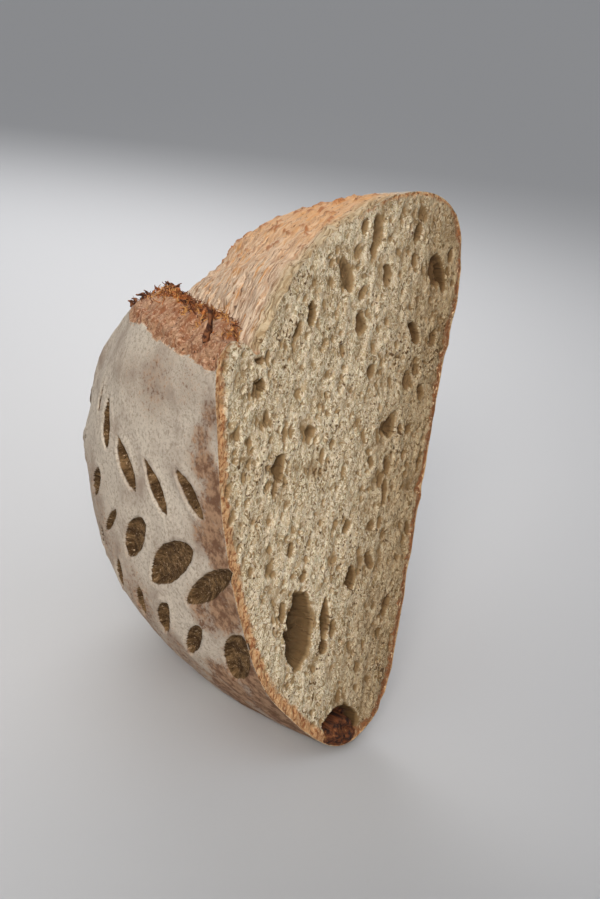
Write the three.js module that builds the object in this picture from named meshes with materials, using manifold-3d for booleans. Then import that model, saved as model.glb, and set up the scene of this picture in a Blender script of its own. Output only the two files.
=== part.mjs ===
// Half of a sourdough batard, cut straight across its middle.
// The half stands on its narrow side, the cut face in front and the flat base to the right.
// Units are millimetres, +Z is up, and the origin is the middle of the underside.
import * as THREE from 'three';
import { mergeVertices } from 'three/addons/utils/BufferGeometryUtils.js';
import Module from 'manifold-3d';

// The loaf's own axes: x runs across the base from the narrow side to the burst side,
// y runs along the loaf from the cut to the rounded end, and z rises from the base.
const HALF_LENGTH = 109;
const AXIS_ACROSS = 78; // where the rounded end closes, across the base
const AXIS_HEIGHT = 25; // and its height above the base

// How the half rests.
const BASE_LEAN = 14; // degrees between the base and a plumb line
const BACK_TILT = 14; // degrees that the cut face leans back
const FLAT_DEPTH = 4; // how much the narrow side is pressed flat where it stands

// Mesh density.
const STATIONS = 26; // sections along the loaf
const STEPS_PER_POINT = 3; // sides between two outline points

// How fast each zone of the outline closes in towards the rounded end.
// A zone's width and height each follow (1 - t^power)^(1 / root), t from 0 at the cut to 1.
const ZONES = {
  base: { width: [2.5, 2.0], height: [3.0, 2.0] },
  side: { width: [2.5, 2.0], height: [2.6, 2.0] },
  dome: { width: [2.7, 2.0], height: [3.1, 2.0] },
  lip: { width: [2.7, 2.0], height: [2.5, 1.8] },
  ear: { width: [2.7, 2.0], height: [2.1, 1.6] },
  bench: { width: [2.7, 2.0], height: [2.0, 1.6] },
  burst: { width: [2.0, 2.0], height: [1.8, 1.5] },
  flank: { width: [2.2, 2.0], height: [1.85, 1.7] },
};

// The outline at the cut: x, z, zone, and how far the slash carries the point
// across the loaf by SLASH_REACH of its length, because the slash runs slantwise.
const SLASH_REACH = 0.6;
const OUTLINE = [
  [158, 2, 'base', 0],
  [140, -1.5, 'base', 0],
  [110, 0, 'base', 0],
  [80, 0, 'base', 0],
  [50, 0, 'base', 0],
  [24, 0, 'base', 0],
  [11, 3, 'base', 0],
  [3, 10, 'side', 0],
  [0, 18, 'side', 0],
  [2, 27, 'side', 0],
  [8, 39, 'side', 0],
  [16, 50.5, 'side', 0],
  [28, 60, 'dome', 0],
  [44, 69, 'dome', 1],
  [60, 76, 'dome', 3],
  [76, 81.5, 'dome', 6],
  [90, 85.5, 'dome', 10],
  [98, 87.3, 'lip', 13],
  [104, 88, 'ear', 16],
  [108.5, 86.8, 'bench', 15],
  [111, 83, 'bench', 14],
  [110.5, 78, 'bench', 13],
  [109, 74.5, 'bench', 13],
  [116, 72, 'burst', 11],
  [126, 68.5, 'burst', 8],
  [136, 63, 'burst', 5],
  [146, 54.5, 'burst', 2],
  [154, 45, 'flank', 0],
  [161, 34, 'flank', 0],
  [166, 20, 'flank', 0],
  [165, 9, 'flank', 0],
];

// Past the end of the slash the crust is whole. The points from FIRST_TORN to LAST_TORN
// move onto this smooth dome between the two fractions of the length in HEALING.
const FIRST_TORN = 17;
const LAST_TORN = 28;
const HEALING = [0.55, 0.92];
const WHOLE_CRUST = new THREE.CubicBezierCurve(
  new THREE.Vector2(98, 87.3),
  new THREE.Vector2(128, 88),
  new THREE.Vector2(148, 62),
  new THREE.Vector2(161, 34),
);

function closing(t, [power, root]) {
  return Math.pow(1 - Math.pow(t, power), 1 / root);
}

// A zone's width and height, as fractions of those at the cut.
function zoneSize(zone, t) {
  return new THREE.Vector2(closing(t, ZONES[zone].width), closing(t, ZONES[zone].height));
}

// One outline point at the fraction t of the loaf's length.
function outlinePoint([x, z, zone, drift], index, t) {
  const slant = drift * THREE.MathUtils.smoothstep(t, 0, SLASH_REACH);
  const place = new THREE.Vector2(x + slant, z);
  const size = zoneSize(zone, t);
  if (index >= FIRST_TORN && index <= LAST_TORN) {
    const healed = THREE.MathUtils.smoothstep(t, HEALING[0], HEALING[1]);
    const along = (index - FIRST_TORN) / (LAST_TORN - FIRST_TORN);
    place.lerp(WHOLE_CRUST.getPoint(along), healed);
    const wholeSize = zoneSize('dome', t).lerp(zoneSize('flank', t), along);
    size.lerp(wholeSize, healed);
  }
  return new THREE.Vector3(
    AXIS_ACROSS + (place.x - AXIS_ACROSS) * size.x,
    t * HALF_LENGTH,
    AXIS_HEIGHT + (place.y - AXIS_HEIGHT) * size.y,
  );
}

// The closed outline of the loaf at the fraction t of its length, as points in space.
function sectionAt(t) {
  const points = OUTLINE.map((entry, index) => outlinePoint(entry, index, t));
  const curve = new THREE.CatmullRomCurve3(points, true, 'catmullrom', 0.5);
  return curve.getPoints(OUTLINE.length * STEPS_PER_POINT).slice(0, -1);
}

// The skin: rings from the cut to near the end, a flat face on the cut and a point at the end.
function loafGeometry() {
  const rings = [];
  for (let i = 0; i < STATIONS; i += 1) {
    rings.push(sectionAt(Math.sin((i / STATIONS) * Math.PI / 2)));
  }
  const sides = rings[0].length;
  const points = rings.flat();
  const pole = points.length;
  points.push(new THREE.Vector3(AXIS_ACROSS, HALF_LENGTH, AXIS_HEIGHT));

  const triangles = [];
  for (let i = 0; i < STATIONS - 1; i += 1) {
    for (let j = 0; j < sides; j += 1) {
      const near = i * sides + j;
      const nearNext = i * sides + ((j + 1) % sides);
      triangles.push(near, nearNext, near + sides);
      triangles.push(nearNext, nearNext + sides, near + sides);
    }
  }
  const lastRing = (STATIONS - 1) * sides;
  for (let j = 0; j < sides; j += 1) {
    triangles.push(lastRing + j, lastRing + ((j + 1) % sides), pole);
  }
  const cutOutline = rings[0].map((point) => new THREE.Vector2(point.x, point.z));
  for (const [a, b, c] of THREE.ShapeUtils.triangulateShape(cutOutline, [])) {
    triangles.push(a, b, c);
  }

  const geometry = new THREE.BufferGeometry().setFromPoints(points);
  geometry.setIndex(triangles);
  return geometry;
}

function toSolid(wasm, geometry) {
  const shape = geometry.clone();
  shape.deleteAttribute('normal');
  shape.deleteAttribute('uv');
  const merged = mergeVertices(shape);
  return new wasm.Manifold(new wasm.Mesh({
    numProp: 3,
    vertProperties: new Float32Array(merged.attributes.position.array),
    triVerts: new Uint32Array(merged.index.array),
  }));
}

function toGeometry(solid) {
  const mesh = solid.getMesh();
  const geometry = new THREE.BufferGeometry();
  geometry.setAttribute('position', new THREE.BufferAttribute(mesh.vertProperties, 3));
  geometry.setIndex(new THREE.BufferAttribute(mesh.triVerts, 1));
  return geometry;
}

// The loaf turned to the way it rests, with the surface it stands on at z = 0.
function restingLoaf() {
  const geometry = loafGeometry();
  const onItsSide = THREE.MathUtils.degToRad(BASE_LEAN - 90);
  const leaningBack = THREE.MathUtils.degToRad(-BACK_TILT);
  geometry.rotateY(onItsSide);
  geometry.rotateX(leaningBack);
  geometry.computeBoundingBox();
  const box = geometry.boundingBox;
  const middle = box.getCenter(new THREE.Vector3());
  geometry.translate(-middle.x, -middle.y, -box.min.z - FLAT_DEPTH);
  return geometry;
}

// The block that presses the flat spot.
function pressedAway() {
  const size = 4 * HALF_LENGTH;
  return new THREE.BoxGeometry(size, size, size).translate(0, 0, -size / 2);
}

const wasm = await Module();
wasm.setup();
const standing = toSolid(wasm, restingLoaf()).subtract(toSolid(wasm, pressedAway()));

const bread = new THREE.MeshStandardMaterial({ color: 0xb9a284, roughness: 0.9, metalness: 0 });
const halfLoaf = new THREE.Mesh(toGeometry(standing), bread);
halfLoaf.name = 'half_loaf';

const group = new THREE.Group();
group.add(halfLoaf);

export default group;
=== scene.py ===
# %% [markdown]
# # Half a sourdough loaf
# A batard is a short oval loaf. This one was floured, slashed along one side so that it
# tore open there, scored with leaves, baked hard and then cut straight across its middle.
# The half stands on its narrow side. Everything below is built in the loaf's own axes and
# only turned into its resting position at the end, as a baker thinks of it: across the
# base, along the loaf, and up from the base.

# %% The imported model
import math

import bpy
import numpy as np
from mathutils import Matrix, Vector, geometry, noise


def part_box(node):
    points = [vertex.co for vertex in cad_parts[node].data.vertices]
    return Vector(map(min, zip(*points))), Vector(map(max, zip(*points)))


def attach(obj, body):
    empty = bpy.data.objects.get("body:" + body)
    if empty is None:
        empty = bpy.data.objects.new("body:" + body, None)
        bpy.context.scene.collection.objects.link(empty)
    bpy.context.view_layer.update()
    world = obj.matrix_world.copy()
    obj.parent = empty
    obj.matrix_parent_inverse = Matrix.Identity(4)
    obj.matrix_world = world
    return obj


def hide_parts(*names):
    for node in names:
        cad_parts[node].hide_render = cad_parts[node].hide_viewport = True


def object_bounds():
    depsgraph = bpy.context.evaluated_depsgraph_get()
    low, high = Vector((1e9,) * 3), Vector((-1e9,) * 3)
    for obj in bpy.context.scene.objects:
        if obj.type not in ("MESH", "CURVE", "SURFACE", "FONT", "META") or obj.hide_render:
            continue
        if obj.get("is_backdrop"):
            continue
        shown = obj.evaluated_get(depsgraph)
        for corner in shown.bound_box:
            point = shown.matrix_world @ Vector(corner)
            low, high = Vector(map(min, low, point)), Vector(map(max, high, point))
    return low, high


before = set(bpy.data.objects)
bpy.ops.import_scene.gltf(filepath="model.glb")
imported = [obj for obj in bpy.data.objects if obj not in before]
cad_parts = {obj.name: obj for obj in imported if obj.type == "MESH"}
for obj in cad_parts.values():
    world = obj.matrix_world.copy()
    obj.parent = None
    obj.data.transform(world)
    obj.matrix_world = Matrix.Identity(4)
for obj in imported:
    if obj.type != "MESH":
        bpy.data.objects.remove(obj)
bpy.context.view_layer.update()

MM = 0.001

# %% [markdown]
# ## The camera
# It comes first, because every later choice of detail depends on what it sees. It looks
# down on the cut face and on the floured dome at once. It is rolled by a few degrees, so
# that the half seems to lean the way it would against its other half.

# %% Camera
CAMERA_PLACE = Vector((-0.2985, -0.3177, 0.2367))
CAMERA_AZIMUTH = math.radians(-45.34)
CAMERA_ELEVATION = math.radians(20.29)
CAMERA_ROLL = math.radians(9.35)
LENS_MM = 60.0

camera_data = bpy.data.cameras.new("camera")
camera_data.lens = LENS_MM
camera_data.sensor_width = 36.0
camera_data.clip_start = 0.01
camera = bpy.data.objects.new("camera", camera_data)
bpy.context.scene.collection.objects.link(camera)
bpy.context.scene.camera = camera
backward = Vector((
    math.sin(CAMERA_AZIMUTH) * math.cos(CAMERA_ELEVATION),
    -math.cos(CAMERA_AZIMUTH) * math.cos(CAMERA_ELEVATION),
    math.sin(CAMERA_ELEVATION),
))
camera.rotation_mode = "QUATERNION"
look = (-backward).to_track_quat("-Z", "Y").to_matrix()
camera.rotation_quaternion = (look @ Matrix.Rotation(CAMERA_ROLL, 3, "Z")).to_quaternion()
camera.location = CAMERA_PLACE
print("camera at", [round(v, 3) for v in camera.location])

# %% [markdown]
# ## The loaf's outline
# At the cut the outline is a flat base, a tight narrow side, a long dome, the ear that the
# slash lifted, the torn bench under the ear, and the burst that swelled out of the slash.
# The same outline, carried along the loaf and closed in towards the end by a different
# curve for each zone, gives the whole skin. A formula beats sculpting here, because each
# point then knows its zone, and the zones later steer the relief and the colours.

# %% Outline and zones
HALF_LENGTH = 109.0
AXIS = np.array([78.0, 25.0])
BASE_LEAN = math.radians(14)
BACK_TILT = math.radians(14)
SLASH_REACH = 0.6
HEALING = (0.55, 0.92)

ZONES = {
    "base": ((2.5, 2.0), (3.0, 2.0)),
    "side": ((2.5, 2.0), (2.6, 2.0)),
    "dome": ((2.7, 2.0), (3.1, 2.0)),
    "lip": ((2.7, 2.0), (2.5, 1.8)),
    "ear": ((2.7, 2.0), (2.1, 1.6)),
    "bench": ((2.7, 2.0), (2.0, 1.6)),
    "burst": ((2.0, 2.0), (1.8, 1.5)),
    "flank": ((2.2, 2.0), (1.85, 1.7)),
}
OUTLINE = [
    (158, 2, "base", 0), (140, -1.5, "base", 0), (110, 0, "base", 0), (80, 0, "base", 0),
    (50, 0, "base", 0), (24, 0, "base", 0), (11, 3, "base", 0),
    (3, 10, "side", 0), (0, 18, "side", 0), (2, 27, "side", 0), (8, 39, "side", 0),
    (16, 50.5, "side", 0),
    (28, 60, "dome", 0), (44, 69, "dome", 1), (60, 76, "dome", 3), (76, 81.5, "dome", 6),
    (90, 85.5, "dome", 10), (98, 87.3, "lip", 13),
    (104, 88, "ear", 16),
    (108.5, 86.8, "bench", 15), (111, 83, "bench", 14), (110.5, 78, "bench", 13),
    (109, 74.5, "bench", 13),
    (116, 72, "burst", 11), (126, 68.5, "burst", 8), (136, 63, "burst", 5),
    (146, 54.5, "burst", 2),
    (154, 45, "flank", 0), (161, 34, "flank", 0), (166, 20, "flank", 0), (165, 9, "flank", 0),
]
SIDE_START, EAR, NOTCH, FLANK_START = 7, 18, 22, 27
FIRST_TORN, LAST_TORN = 17, 28
WHOLE_CRUST = np.array([(98, 87.3), (128, 88), (148, 62), (161, 34)], float)


def smooth(x, low, high):
    """A soft step from 0 at low to 1 at high."""
    f = np.clip((np.asarray(x, float) - low) / (high - low), 0, 1)
    return f * f * (3 - 2 * f)


def zone_size(zone, t):
    """Width and height of a zone at the fraction t of the length, against the cut."""
    return np.array([np.clip(1 - t ** power, 0, 1) ** (1 / root) for power, root in ZONES[zone]])


def control_points(t):
    """The outline's points at each fraction of the length, as an array of points, xz, t."""
    rows = []
    healed = smooth(t, *HEALING)
    for index, (x, z, zone, drift) in enumerate(OUTLINE):
        place = np.array([x + drift * smooth(t, 0, SLASH_REACH), z + 0 * t])
        size = zone_size(zone, t)
        if FIRST_TORN <= index <= LAST_TORN:
            f = (index - FIRST_TORN) / (LAST_TORN - FIRST_TORN)
            weights = [(1 - f) ** 3, 3 * (1 - f) ** 2 * f, 3 * (1 - f) * f * f, f ** 3]
            whole = weights @ WHOLE_CRUST
            place += (whole[:, None] - place) * healed
            size += (zone_size("dome", t) * (1 - f) + zone_size("flank", t) * f - size) * healed
        rows.append(AXIS[:, None] + (place - AXIS[:, None]) * size)
    return np.array(rows)


def skin(t, s):
    """Skin points for lengths t and places s round the outline, where s counts its points."""
    controls = control_points(t)
    count = len(OUTLINE)
    first = np.floor(s).astype(int)
    f = s - first
    spline = 0.5 * np.array([
        -f + 2 * f ** 2 - f ** 3, 2 - 5 * f ** 2 + 3 * f ** 3,
        f + 4 * f ** 2 - 3 * f ** 3, -f ** 2 + f ** 3,
    ])
    xz = sum(spline[k][:, None, None] * controls[(first + k - 1) % count] for k in range(4))
    y = np.broadcast_to(t * HALF_LENGTH, xz[:, 0].shape)
    return np.stack([xz[:, 0], y, xz[:, 1]], axis=-1).transpose(1, 0, 2)


# %% Sampling the skin
# Spacing in mm round the outline, closer together where there is more to see.
STEPS = {
    "base": 3.2, "side": 1.2, "dome": 1.0, "lip": 0.8, "ear": 0.7, "bench": 0.7,
    "burst": 0.85, "flank": 1.7,
}
STATION_STEP = 0.78


def outline_samples():
    """Places round the outline, spaced by zone."""
    samples = []
    for index in range(len(OUTLINE)):
        here, after = (np.array(OUTLINE[(index + k) % len(OUTLINE)][:2]) for k in (0, 1))
        step = STEPS[OUTLINE[index][2]]
        parts = max(2, round(float(np.linalg.norm(after - here)) / step))
        samples += [index + k / parts for k in range(parts)]
    return np.array(samples)


def length_samples():
    """Fractions of the length, close together by the cut and wider towards the end."""
    fine = np.sin(np.linspace(0, 1, 2000) * math.pi / 2)
    line = skin(fine, np.array([15.0]))[:, 0]
    step = np.linalg.norm(np.diff(line, axis=0), axis=1)
    spacing = STATION_STEP * (1 + 1.9 * smooth(fine[1:], 0.55, 0.95))
    travelled = np.concatenate([[0], np.cumsum(step / spacing)])
    stations = np.arange(0, travelled[-1] - 0.5)
    return np.interp(stations, travelled, fine)


ring = outline_samples()
stations = length_samples()
base_skin = skin(stations, ring)
rows, columns = base_skin.shape[:2]
print("skin grid:", rows, "sections of", columns, "points")

# %% [markdown]
# ## Relief of the skin
# The skin is pushed in and out along its normal. Each zone gets the relief of what made it:
# the blade cut the leaves and their floors dried rough, the bench tore in fibres when the
# ear lifted, and the burst stretched in strands from the bench to the flank. Relief this
# large is real geometry, so that it shows on the outline too.

# %% Noise in millimetres
def field(points, size, octaves=3, shift=0.0):
    """Fractal noise, about -1 to 1, with grains of the given size (or sizes by axis)."""
    scaled = points.reshape(-1, 3) / np.array(size, float) + shift
    values = [noise.fractal(Vector(p), 1.0, 2.0, octaves) for p in scaled.tolist()]
    return np.array(values).reshape(points.shape[:-1])


# %% Zones of the skin
s_map = np.broadcast_to(ring, (rows, columns))
t_map = np.broadcast_to(stations[:, None], (rows, columns))
# Away from the cut the dome falls back below the ear, by this share of its distance from
# the loaf's axis.
SHOULDER_FALL = 0.085
shoulder = smooth(s_map, 14.6, 15.9) * (1 - smooth(s_map, 17.0, 19.5)) * smooth(t_map, 0.42, 0.76)
base_skin[..., [0, 2]] += (AXIS - base_skin[..., [0, 2]]) * (SHOULDER_FALL * shoulder)[..., None]
across, along, height = (base_skin[..., k] for k in range(3))
surface_point = np.stack([across, along, height], -1)
healed = smooth(t_map, *HEALING)
ring_steps = np.linalg.norm(np.diff(base_skin[0], axis=0), axis=1)
ring_length = np.concatenate([[0], np.cumsum(ring_steps)])
girth = np.broadcast_to(ring_length - np.interp(EAR, ring, ring_length), (rows, columns))
NOTCH_GIRTH = float(np.interp(NOTCH, ring, girth[0]))
FLANK_GIRTH = float(np.interp(FLANK_START, ring, girth[0]))

# The tear starts at the ear's edge, which wanders, and creeps under the flour farther from
# the cut. It ends on the flank in a frayed edge of flour.
EAR_CREEP = 13
wander = field(np.stack([along, across * 0, along * 0], -1), 9.0, 4) * 1.6
torn = smooth(girth + wander - EAR_CREEP * smooth(t_map, 0.5, 0.64), -1.6, -0.6) * (s_map < 30)
frayed = field(surface_point, 6.0, 4, 90.0) * 5.0
flour_edge = smooth(girth + wander + frayed, FLANK_GIRTH + 8, FLANK_GIRTH + 28)
torn = torn * (1 - flour_edge) * (1 - healed)
bench = torn * (1 - smooth(girth + 0.8 * wander, NOTCH_GIRTH - 0.5, NOTCH_GIRTH + 2.5))
burst = torn - bench
base_side = smooth(np.minimum(np.abs(s_map - 3), 33 - s_map + 1), 4.2, 2.8)
print("bench", round(NOTCH_GIRTH, 1), "mm wide, burst to", round(FLANK_GIRTH, 1), "mm")

# %% Scored leaves
# Each leaf: its two tips, each as mm across and along the loaf, and how far its two sides
# swell from the line between the tips. Slim leaves open from a point at the top, the
# others are blunt at the top and pointed below.
SLIM_LEAVES = [
    (74.5, 19.5, 61.5, 8.5, 2.2, 3.0), (75.5, 35.5, 60.5, 25.5, 2.9, 2.6),
    (80.5, 50.5, 65, 42, 4.0, 3.0), (92, 57, 75.5, 58.5, 3.6, 3.0), (97, 63, 85.5, 67, 1.8, 1.4),
]
BLUNT_LEAVES = [
    (49.5, -1, 36.5, 24, 3.2, 3.2), (53, 15.5, 39.5, 41.5, 5.6, 4.2),
    (57, 38, 44.5, 54.5, 5.0, 3.4), (58, 56, 50.5, 68.5, 1.7, 1.7),
    (69, 66, 60, 78, 3.0, 3.0), (79, 82, 71, 91, 2.4, 2.4),
    (31, 0.5, 17, 14, 4.8, 4.6), (30.5, 19.5, 20, 33, 2.6, 2.2), (34, 34.5, 24, 44.5, 3.2, 2.6),
    (36, 50, 26.5, 56.5, 2.6, 2.4), (43, 60.5, 33.5, 67, 2.6, 2.4), (51, 72, 42, 82, 2.6, 2.4),
]


def leaf_distance(x, y, leaf, top_point, low_point):
    """Rough distance in mm to a leaf's edge, negative inside it."""
    top, low = np.array(leaf[:2]), np.array(leaf[2:4])
    middle, half = (top + low) / 2, (top - low) / 2
    half_length = float(np.linalg.norm(half))
    run_x, run_y = half / half_length
    dx, dy = x - middle[0], y - middle[1]
    run = (dx * run_x + dy * run_y) / half_length
    side = dy * run_x - dx * run_y
    width = np.where(side > 0, leaf[4], leaf[5])
    inside = np.clip(1 - run * run, 0, 1) ** np.where(run > 0, top_point, low_point)
    beyond = np.clip(np.abs(run) - 1, 0, None) * half_length
    return np.abs(side) - width * inside + beyond


NO_LEAF = 9.0
ragged = field(surface_point, 3.0, 3, 11.0) * 0.3
leaf_edge = np.full(across.shape, NO_LEAF)
for leaf in SLIM_LEAVES:
    leaf_edge = np.minimum(leaf_edge, leaf_distance(across, along, leaf, 1.1, 0.7))
for leaf in BLUNT_LEAVES:
    leaf_edge = np.minimum(leaf_edge, leaf_distance(across, along, leaf, 0.68, 0.85))
leaf_edge = np.clip(leaf_edge + ragged, -4, NO_LEAF)
leaf_edge = np.where((s_map > SIDE_START) & (s_map < EAR - 0.6), leaf_edge, NO_LEAF)
print("scored leaves:", len(SLIM_LEAVES + BLUNT_LEAVES))

# %% Where the flour wore off
# Each patch: middle across and along the loaf, radius, and how much flour is gone. Flour is
# thin beside the cut, at the low end and along the ear.
BARE_PATCHES = [
    (90, 3, 5, 0.5), (84, 7, 5, 0.6), (77, 6, 6, 0.7), (71, 2, 6, 0.8), (65, 3, 6, 0.8),
    (58, 5, 7, 0.8), (51, 3, 6, 0.7), (43, 3, 6, 0.7), (37, 7, 8, 0.8), (36, 17, 6, 0.6),
    (20, 5, 9, 0.9), (14, 17, 8, 0.8), (6, 26, 10, 0.9), (8, 6, 10, 1.0), (98, 12, 9, 0.25),
    (96, 29, 10, 0.35), (99, 44, 8, 0.2), (16, 40, 12, 0.4), (12, 60, 14, 0.6), (60, 85, 16, 0.3),
    (48, 72, 16, 0.35), (30, 55, 12, 0.45),
]
bare = np.zeros(across.shape)
smudge = field(surface_point, 7.0, 4, 60.0)
for x, y, radius, gone in BARE_PATCHES:
    reach = np.hypot(across - x, along - y) / radius
    bare = np.maximum(bare, gone * np.exp(-np.abs(reach * (1 + 0.5 * smudge)) ** 2.5))
bare *= (s_map > SIDE_START - 1) & (s_map < EAR)
print("patches with little flour:", len(BARE_PATCHES))

# %% Relief
# Heights in mm: the leaves' cuts and the puffed rim round them, the ledge under the ear, the
# burst's strands, the slots between them and its blisters, and how far it is trimmed back.
LEAF_DEPTH, LEAF_RIM = 2.3, 0.4
LEDGE_RISE, LEDGE_ROUGHNESS = 5.0, 2.6
STRAND_RISE, SLOT_DEPTHS, BLISTER_RISE = 0.9, (0.9, 1.7), 0.7
SOFT_EDGE_WEAR, BURST_TRIM = 1.6, 3.2

bench_grain = field(surface_point, 4.5, 4, 17.0)
bench_pits = smooth(field(surface_point, 2.6, 2, 44.0), 0.3, 0.62)
drift = field(surface_point, 16.0, 2) * 0.35
strand_point = np.stack([girth / 22.0 + drift, along / 2.5 + 2 * drift, along * 0], -1)
ridges = 1 - 2 * np.abs(field(strand_point, 1.0, 2, 21.0))
slot_point = np.stack([girth / 7.5 + drift, along / 2.9, along * 0], -1)
strand_slots = smooth(field(slot_point, 1.0, 2, 40.0), 0.34, 0.62)
near_notch = 1 - smooth(girth, NOTCH_GIRTH + 8, NOTCH_GIRTH + 30)
lumps = field(surface_point, 18.0, 3, 2.0)
pimples = field(surface_point, 1.8, 3, 9.0)
blisters = burst * smooth(field(surface_point, 3.2, 2, 31.0), 0.24, 0.5) * smooth(across, 125, 145)

relief = 0.55 * lumps * (1 - 0.6 * base_side) + 0.09 * pimples
leaf_floor = smooth(-leaf_edge, -0.3, 1.2)
relief -= LEAF_DEPTH * leaf_floor * (1 + 0.16 * pimples)
relief += LEAF_RIM * np.exp(-((leaf_edge - 1.0) / 0.9) ** 2)
relief += bench * (0.9 * bench_grain - 1.3 * bench_pits + 0.5 * pimples)
ledge = bench * smooth(girth, 5, NOTCH_GIRTH - 4) * smooth(along, 3, 16) * (1 - smooth(along, 58, 72))
relief += ledge * (LEDGE_RISE + LEDGE_ROUGHNESS * bench_grain)
relief += burst * (STRAND_RISE * ridges + 0.3 * pimples)
relief -= burst * strand_slots * (SLOT_DEPTHS[0] + SLOT_DEPTHS[1] * near_notch)
soft_edge = burst * (1 - smooth(along + 4 * drift, 0.5, 9))
relief -= soft_edge * SOFT_EDGE_WEAR * smooth(field(surface_point, 3.0, 3, 80.0), 0.05, 0.6)
relief -= BURST_TRIM * burst * smooth(along, 14, 46) * (1 - smooth(across, 138, 148))
relief += BLISTER_RISE * blisters
relief += base_side * (1 - smooth(along, 2, 9)) * 1.5 * pimples
# By the cut the relief fades, so that the cut stays flat and its outline smooth.
relief *= 0.25 + 0.75 * smooth(along, -1.0, 1.5)


def grid_normals(points):
    """Outward unit normals of a closed ring grid."""
    round_way = np.roll(points, -1, axis=1) - np.roll(points, 1, axis=1)
    long_way = np.gradient(points, axis=0)
    normal = np.cross(round_way, long_way)
    normal /= np.linalg.norm(normal, axis=-1, keepdims=True) + 1e-9
    middle = np.array([AXIS[0], HALF_LENGTH * 0.4, AXIS[1] + 10])
    outward = np.sign(np.sum(normal * (points - middle), axis=(1, 2), keepdims=True))
    return normal * outward


skin_normal = grid_normals(base_skin)
skin_normal[0, :, 1] = 0
skin_points = base_skin + skin_normal * relief[..., None]
skin_points[0, :, 1] = 0
print("relief, mm: from", round(relief.min(), 2), "to", round(relief.max(), 2))

# %% [markdown]
# ## The cut face
# A knife through the loaf shows the crumb: bubbles of all sizes, drawn out along the way
# the dough rose. The face is filled with evenly spaced points, joined by a Delaunay
# triangulation, because a grid would leave rows that show as stripes once the bubbles
# push it in. The few large hollows are listed one by one, and thousands of small ones are
# left to Geometry Nodes.

# %% Points on the cut face
CRUMB_STEP = 0.47
rim = skin_points[0][:, [0, 2]]


def distance_to_rim(points):
    """For points on the face, the distance in mm to its outline (negative outside) and
    the number of the nearest outline point."""
    nearest = np.full(len(points), 1e9)
    number = np.zeros(len(points), int)
    crossings = np.zeros(len(points), int)
    for index, (a, b) in enumerate(zip(rim, np.roll(rim, -1, axis=0))):
        e = b - a
        f = np.clip(((points - a) @ e) / (e @ e), 0, 1)
        distance = np.linalg.norm(points - a - f[:, None] * e, axis=1)
        number = np.where(distance < nearest, index, number)
        nearest = np.minimum(nearest, distance)
        if abs(e[1]) > 1e-12:
            passes = (a[1] > points[:, 1]) != (b[1] > points[:, 1])
            crossings += passes & (points[:, 0] < a[0] + e[0] * (points[:, 1] - a[1]) / e[1])
    return np.where(crossings % 2 == 1, nearest, -nearest), number


low, high = rim.min(axis=0), rim.max(axis=0)
lattice_x, lattice_z = np.meshgrid(
    np.arange(low[0], high[0], CRUMB_STEP), np.arange(low[1], high[1], CRUMB_STEP * 0.866)
)
lattice_x[1::2] += CRUMB_STEP / 2
lattice = np.stack([lattice_x.ravel(), lattice_z.ravel()], -1)
lattice += np.random.default_rng(4).uniform(-0.1, 0.1, lattice.shape)
to_rim, rim_number = distance_to_rim(lattice)
kept = to_rim > 0.35
crumb_xz, crumb_rim, crumb_s = lattice[kept], to_rim[kept], ring[rim_number[kept]]
outline_edges = [(k, (k + 1) % columns) for k in range(columns)]
face_points = [Vector(p) for p in np.vstack([rim, crumb_xz]).tolist()]
filled = geometry.delaunay_2d_cdt(face_points, outline_edges, [], 1, 1e-6)
cut_triangles = np.array([list(f) for f in filled[2]])
if len(filled[0]) != len(face_points):
    raise ValueError("the cut face gained or lost points")
print("cut face:", len(crumb_xz), "points,", len(cut_triangles), "triangles")

# %% Large hollows
# Each hollow: middle across and up, half length, half width, depth, turn in degrees from
# across the loaf.
HOLLOWS = [
    (33, 41, 12.5, 5.0, 8.5, 6), (38, 32, 6.5, 1.8, 6.0, 10), (29.5, 30.5, 2.0, 1.6, 7.0, 0),
    (50.5, 24, 3.4, 2.0, 5.0, 15), (123, 57, 3.6, 1.8, 4.5, 10), (143, 6.5, 4.6, 1.3, 5.0, 20),
    (124.5, 14.5, 4.0, 2.0, 4.0, 40), (108, 74, 2.4, 1.4, 4.0, 60), (101, 71, 2.2, 1.4, 4.0, 20),
    (88, 3.2, 3.6, 0.7, 3.5, 0), (151, 36.5, 5.0, 2.2, 2.0, 10), (136, 46, 5.5, 2.2, 1.6, 30),
    (75, 16, 2.6, 1.0, 2.6, 0), (73, 60, 3.0, 1.0, 2.4, 0), (57, 50, 2.4, 1.2, 2.4, 5),
]
# The charred bubble at the low tip: middle across and up, its radius, and the slot over it.
BUBBLE = np.array([4.2, 17.6])
BUBBLE_RADIUS = 5.2
SLOT_WIDTH, SLOT_DEPTH = 1.9, 6.0

crumb_points = np.stack([crumb_xz[:, 0], 0 * crumb_rim, crumb_xz[:, 1]], -1)
swirl = field(crumb_points, 7.0, 2, 7.0) + 0.25 * field(crumb_points, 1.6, 2, 3.0)
crumble = field(crumb_points, 2.2, 3, 5.0)
hollow = np.zeros(len(crumb_xz))
for x, z, half_length, half_width, depth, turn in HOLLOWS:
    turn = math.radians(turn)
    dx, dz = crumb_xz[:, 0] - x, crumb_xz[:, 1] - z
    run = (dx * math.cos(turn) + dz * math.sin(turn)) / half_length
    side = (-dx * math.sin(turn) + dz * math.cos(turn)) / half_width
    reach = 1 - (run ** 2 + side ** 2) * (1 + 0.5 * swirl)
    hollow = np.maximum(hollow, depth * np.clip(reach * 1.3, 0, 1) ** 0.7)
hollow *= smooth(crumb_rim, 0.6, 1.4) * (1 + 0.2 * crumble)
from_bubble = np.hypot(*(crumb_xz - BUBBLE).T) + 0.9 * swirl + 0.7 * crumble
over_bubble = smooth(crumb_xz[:, 0], BUBBLE[0] + 0.5, BUBBLE[0] + 3.0)
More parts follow.
